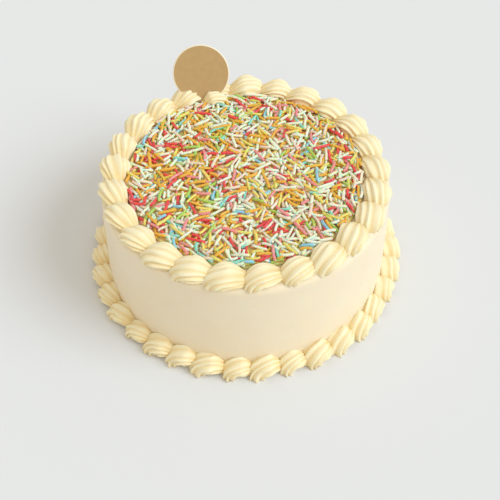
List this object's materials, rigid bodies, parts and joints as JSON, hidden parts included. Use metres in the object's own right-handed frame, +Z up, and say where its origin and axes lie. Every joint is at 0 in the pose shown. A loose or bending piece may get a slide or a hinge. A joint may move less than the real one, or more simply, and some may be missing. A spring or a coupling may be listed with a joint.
{
  "type": "iced celebration cake",
  "caption": "Round iced layer cake with piped shell borders at top and foot, a top covered in coloured sugar strands and a plain round card.",
  "frame": {"origin": "centre of the cake's underside, on the surface it stands on", "axes": "+Z up, -Y towards the front, the round card at the back"},
  "size_m": [0.2319, 0.2313, 0.1166],
  "materials": {
    "icing": "smooth pale cream buttercream, spread flat",
    "piping": "pale cream buttercream piped through a star nozzle",
    "strands": "sugar strands in mixed colours, slightly waxy",
    "card": "printed card, matt gold-brown with a pale rim"
  },
  "bodies": {
    "root": {"cake_body": "icing", "top_border": "piping", "bottom_border": "piping", "sprinkles": "strands", "topper_card": "card"}
  },
  "joints": []
}
